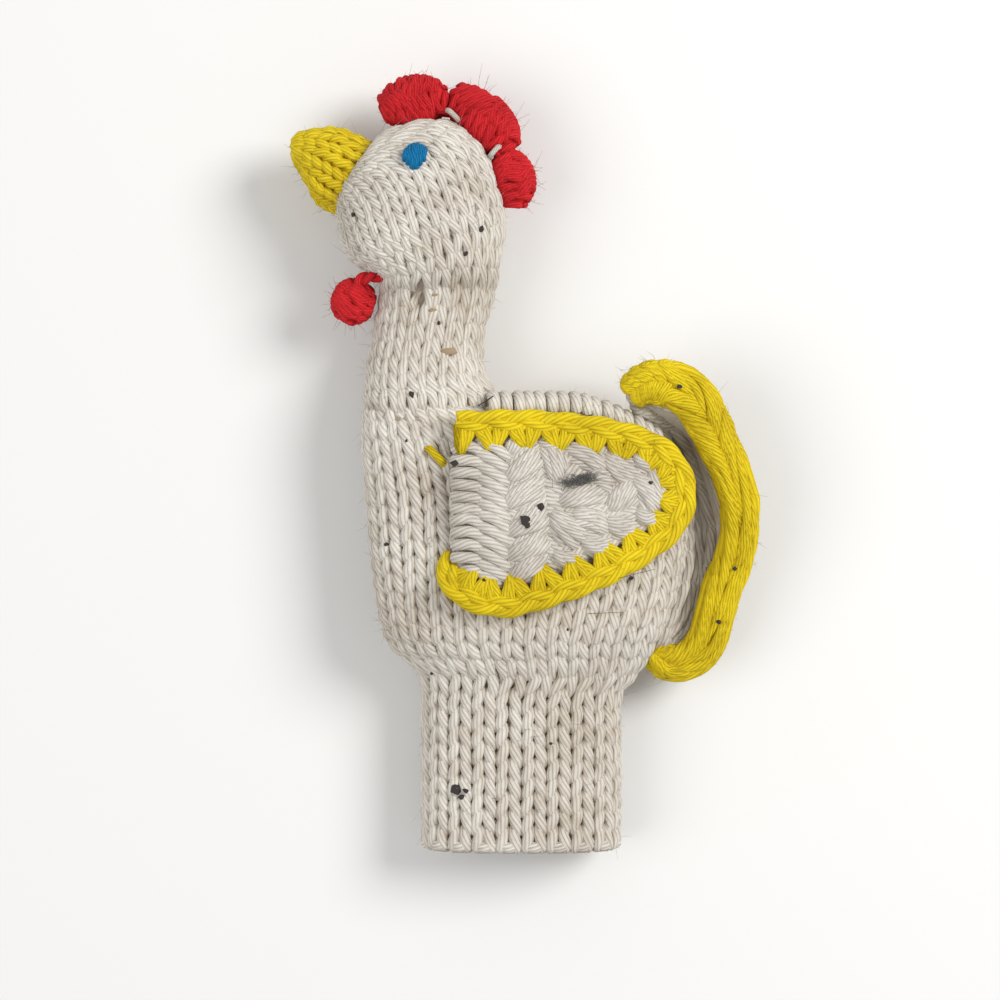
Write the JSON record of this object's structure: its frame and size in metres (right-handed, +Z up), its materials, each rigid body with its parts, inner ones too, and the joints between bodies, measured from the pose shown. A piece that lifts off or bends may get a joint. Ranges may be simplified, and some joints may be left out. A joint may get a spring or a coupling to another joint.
{
  "type": "finger puppet",
  "caption": "Hand-knitted hen finger puppet with a ribbed finger cuff, crocheted wings, tail, comb and wattle, lying on its side.",
  "frame": {"origin": "middle of the underside of the bounding box, on the surface that the puppet lies on", "axes": "+Z up from that surface, +Y from the cuff to the comb, +X from the beak to the tail"},
  "size_m": [0.0636, 0.1044, 0.0201],
  "materials": {
    "cream_yarn": "undyed plied wool, knitted, slightly fuzzy",
    "yellow_yarn": "bright yellow plied wool, crocheted, slightly fuzzy",
    "red_yarn": "red plied wool, crocheted, slightly fuzzy",
    "blue_yarn": "blue embroidery yarn in satin stitch",
    "white_fibre": "loose white fibre filling"
  },
  "bodies": {
    "root": {"body": "cream_yarn", "head_stuffing": "white_fibre", "beak": "yellow_yarn", "comb": "red_yarn", "comb_stitch_1": "cream_yarn", "comb_stitch_2": "cream_yarn", "wattle": "red_yarn", "eye_left": "blue_yarn", "eye_right": "blue_yarn", "wing_left": "cream_yarn", "wing_left_edging": "yellow_yarn", "wing_right": "cream_yarn", "wing_right_edging": "yellow_yarn", "wing_yarn_end": "yellow_yarn", "tail": "cream_yarn", "tail_edging": "yellow_yarn"}
  },
  "joints": []
}
